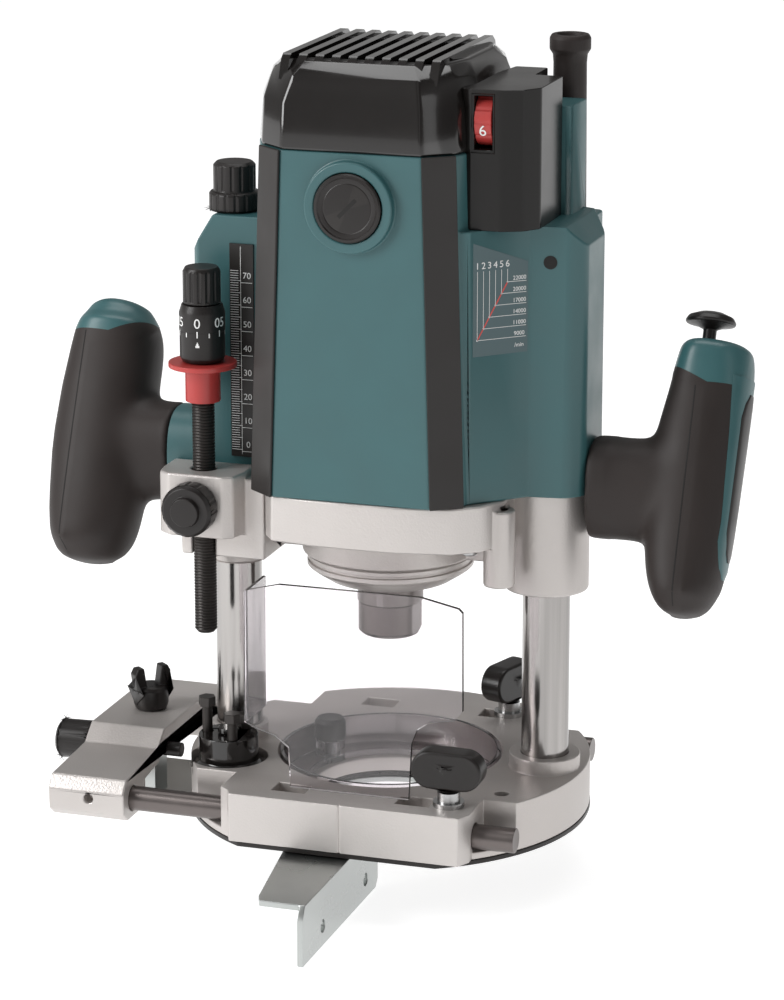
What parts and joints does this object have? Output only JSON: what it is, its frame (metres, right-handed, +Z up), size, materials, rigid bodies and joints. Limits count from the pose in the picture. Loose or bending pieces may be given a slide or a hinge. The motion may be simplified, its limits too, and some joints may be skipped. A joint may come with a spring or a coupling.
{
  "type": "plunge router",
  "caption": "Plunge router: motor head sliding on twin columns over a round base, with side grips, depth stop, stop turret, clear chip shield and an edge guide on rods.",
  "frame": {"origin": "on the spindle axis at the underside of the sole", "axes": "+Z up along the spindle, +X to the right along the grips, +Y from the front to the back; the front carries the depth stop"},
  "size_m": [0.292, 0.25, 0.342],
  "materials": {
    "cast_aluminium": "satin",
    "sole_black": "matte",
    "bright_steel": "polished",
    "plain_steel": "satin",
    "dark_steel": "satin",
    "zinc_steel": "satin",
    "clear_plastic": "clear",
    "black_gloss": "gloss",
    "black_plastic": "satin",
    "black_rubber": "matte",
    "black_steel": "black oxide",
    "teal_plastic": "satin",
    "red_plastic": "satin",
    "lamination": "matte",
    "copper": "satin",
    "bronze": "satin",
    "carbon": "matte",
    "board": "matte"
  },
  "bodies": {
    "base": {"base_casting": "cast_aluminium", "base_sole": "sole_black", "sole_screws": "plain_steel", "guide_columns": "bright_steel", "plunge_springs": "plain_steel", "threaded_rod": "plain_steel", "clamp_springs": "plain_steel", "chip_shield": "clear_plastic", "dust_ring": "clear_plastic", "turret_pin": "black_gloss"},
    "head": {"gear_bracket": "cast_aluminium", "bearing_plate": "cast_aluminium", "column_bushes": "bronze", "motor_housing": "teal_plastic", "side_trims": "black_plastic", "top_cover": "black_gloss", "dial_housing": "black_gloss", "brush_caps": "black_plastic", "brush_holders": "copper", "carbon_brushes": "carbon", "stator": "lamination", "controller_board": "board", "scale_plate": "black_plastic", "cord_guard": "black_rubber", "head_screws": "plain_steel", "grip_left": "black_rubber", "grip_right": "black_rubber", "grip_cap_left": "teal_plastic", "grip_cap_right": "teal_plastic", "power_switch": "black_plastic", "spindle_bearings": "plain_steel"},
    "spindle": {"armature_shaft": "plain_steel", "armature_core": "lamination", "commutator": "copper", "cooling_fan": "black_plastic", "collet": "plain_steel"},
    "guide": {"guide_rods": "dark_steel", "guide_holder": "cast_aluminium"},
    "nylon_nut": {"nylon_nut": "black_plastic"},
    "front_rod_clamp": {"front_rod_clamp": "black_plastic"},
    "rear_rod_clamp": {"rear_rod_clamp": "black_plastic"},
    "shield_screw": {"shield_screw": "black_plastic"},
    "stop_turret": {"stop_turret": "black_gloss"},
    "stop_bolt_high": {"stop_bolt_high": "black_steel"},
    "stop_bolt_middle": {"stop_bolt_middle": "black_steel"},
    "stop_bolt_low": {"stop_bolt_low": "black_steel"},
    "speed_dial": {"speed_dial": "red_plastic"},
    "trigger": {"trigger": "black_plastic"},
    "lock_off_button": {"lock_off_button": "black_plastic"},
    "lock_lever": {"lock_lever": "black_plastic"},
    "shaft_lock_button": {"shaft_lock_button": "black_plastic"},
    "collet_nut": {"collet_nut": "dark_steel"},
    "stopper_pole": {"stopper_pole": "black_steel"},
    "depth_pointer": {"depth_pointer": "red_plastic"},
    "depth_dial": {"depth_dial": "black_plastic"},
    "depth_knob": {"depth_knob": "black_plastic"},
    "pole_clamp_knob": {"pole_clamp_knob": "black_plastic"},
    "guide_wing_bolt": {"guide_wing_bolt": "black_plastic"},
    "fine_screw": {"fine_screw": "black_plastic"},
    "straight_guide": {"straight_guide": "zinc_steel"}
  },
  "joints": [
    {"name": "plunge", "type": "slide", "parent": "base", "child": "head", "axis": [0, 0, 1], "range_m": [-0.0275, 0], "stiffness_N_per_m": 700, "springref_m": 0.15, "deforming": ["plunge_springs"]},
    {"name": "spindle_spin", "type": "hinge", "parent": "head", "child": "spindle", "pos_m": [0, 0, 0.1], "axis": [0, 0, 1], "continuous": true},
    {"name": "collet_nut_turn", "type": "hinge", "parent": "spindle", "child": "collet_nut", "pos_m": [0, 0, 0.08], "axis": [0, 0, 1], "continuous": true},
    {"name": "stopper_pole_slide", "type": "slide", "parent": "head", "child": "stopper_pole", "axis": [0, 0, 1], "range_m": [0, 0.04]},
    {"name": "depth_pointer_slide", "type": "slide", "parent": "stopper_pole", "child": "depth_pointer", "axis": [0, 0, 1], "range_m": [-0.027, 0]},
    {"name": "depth_dial_turn", "type": "hinge", "parent": "stopper_pole", "child": "depth_dial", "pos_m": [-0.0702, -0.028, 0.2], "axis": [0, 0, 1], "continuous": true},
    {"name": "depth_knob_turn", "type": "hinge", "parent": "stopper_pole", "child": "depth_knob", "pos_m": [-0.0702, -0.028, 0.22], "axis": [0, 0, 1], "continuous": true},
    {"name": "pole_clamp_turn", "type": "hinge", "parent": "head", "child": "pole_clamp_knob", "pos_m": [-0.0702, -0.045, 0.131], "axis": [0, -1, 0], "continuous": true},
    {"name": "lock_lever_swing", "type": "hinge", "parent": "head", "child": "lock_lever", "pos_m": [0.0661, 0.022, 0.114], "axis": [0, 1, 0], "range_deg": [-35, 0]},
    {"name": "shaft_lock_press", "type": "slide", "parent": "head", "child": "shaft_lock_button", "axis": [0, -1, 0], "range_m": [0, 0.004], "stiffness_N_per_m": 600, "springref_m": -0.004},
    {"name": "trigger_press", "type": "hinge", "parent": "head", "child": "trigger", "pos_m": [0.141, 0.01236, 0.17543], "axis": [0, 0.9171, -0.3987], "range_deg": [0, 3.2], "stiffness_Nm_per_rad": 2, "springref_deg": -11.46},
    {"name": "lock_off_press", "type": "slide", "parent": "head", "child": "lock_off_button", "axis": [0, -0.3987, -0.9171], "range_m": [0, 0.003], "stiffness_N_per_m": 500, "springref_m": -0.004},
    {"name": "speed_dial_turn", "type": "hinge", "parent": "head", "child": "speed_dial", "pos_m": [0.0485, -0.0255, 0.292], "axis": [1, 0, 0], "range_deg": [-270, 0]},
    {"name": "nylon_nut_turn", "type": "hinge", "parent": "base", "child": "nylon_nut", "pos_m": [-0.0661, 0, 0.25], "axis": [0, 0, 1], "continuous": true},
    {"name": "turret_turn", "type": "hinge", "parent": "base", "child": "stop_turret", "pos_m": [-0.061, -0.028, 0.02], "axis": [0, 0, 1], "continuous": true},
    {"name": "stop_bolt_high_set", "type": "slide", "parent": "stop_turret", "child": "stop_bolt_high", "axis": [0, 0, 1], "range_m": [-0.004, 0]},
    {"name": "stop_bolt_middle_set", "type": "slide", "parent": "stop_turret", "child": "stop_bolt_middle", "axis": [0, 0, 1], "range_m": [-0.004, 0.003]},
    {"name": "stop_bolt_low_set", "type": "slide", "parent": "stop_turret", "child": "stop_bolt_low", "axis": [0, 0, 1], "range_m": [-0.002, 0.004]},
    {"name": "front_rod_clamp_turn", "type": "hinge", "parent": "base", "child": "front_rod_clamp", "pos_m": [0.043, -0.058, 0.03], "axis": [0, 0, 1], "continuous": true},
    {"name": "rear_rod_clamp_turn", "type": "hinge", "parent": "base", "child": "rear_rod_clamp", "pos_m": [0.034, 0.058, 0.03], "axis": [0, 0, 1], "continuous": true},
    {"name": "shield_screw_turn", "type": "hinge", "parent": "base", "child": "shield_screw", "pos_m": [-0.033, 0.02, 0.022], "axis": [0, 0, 1], "continuous": true},
    {"name": "guide_slide", "type": "slide", "parent": "base", "child": "guide", "axis": [1, 0, 0], "range_m": [-0.055, 0.002]},
    {"name": "guide_wing_bolt_turn", "type": "hinge", "parent": "guide", "child": "guide_wing_bolt", "pos_m": [-0.107, 0.002, 0.03], "axis": [0, 0, 1], "continuous": true},
    {"name": "fine_screw_turn", "type": "hinge", "parent": "guide", "child": "fine_screw", "pos_m": [-0.1245, -0.018, 0.0186], "axis": [1, 0, 0], "range_deg": [-720, 720]},
    {"name": "fence_adjust", "type": "slide", "parent": "guide", "child": "straight_guide", "axis": [1, 0, 0], "range_m": [-0.0029, 0.0029]}
  ],
  "couplings": [
    {"joint": "fine_screw_turn", "follows": "fence_adjust", "rad_per_m": 4188.8}
  ]
}
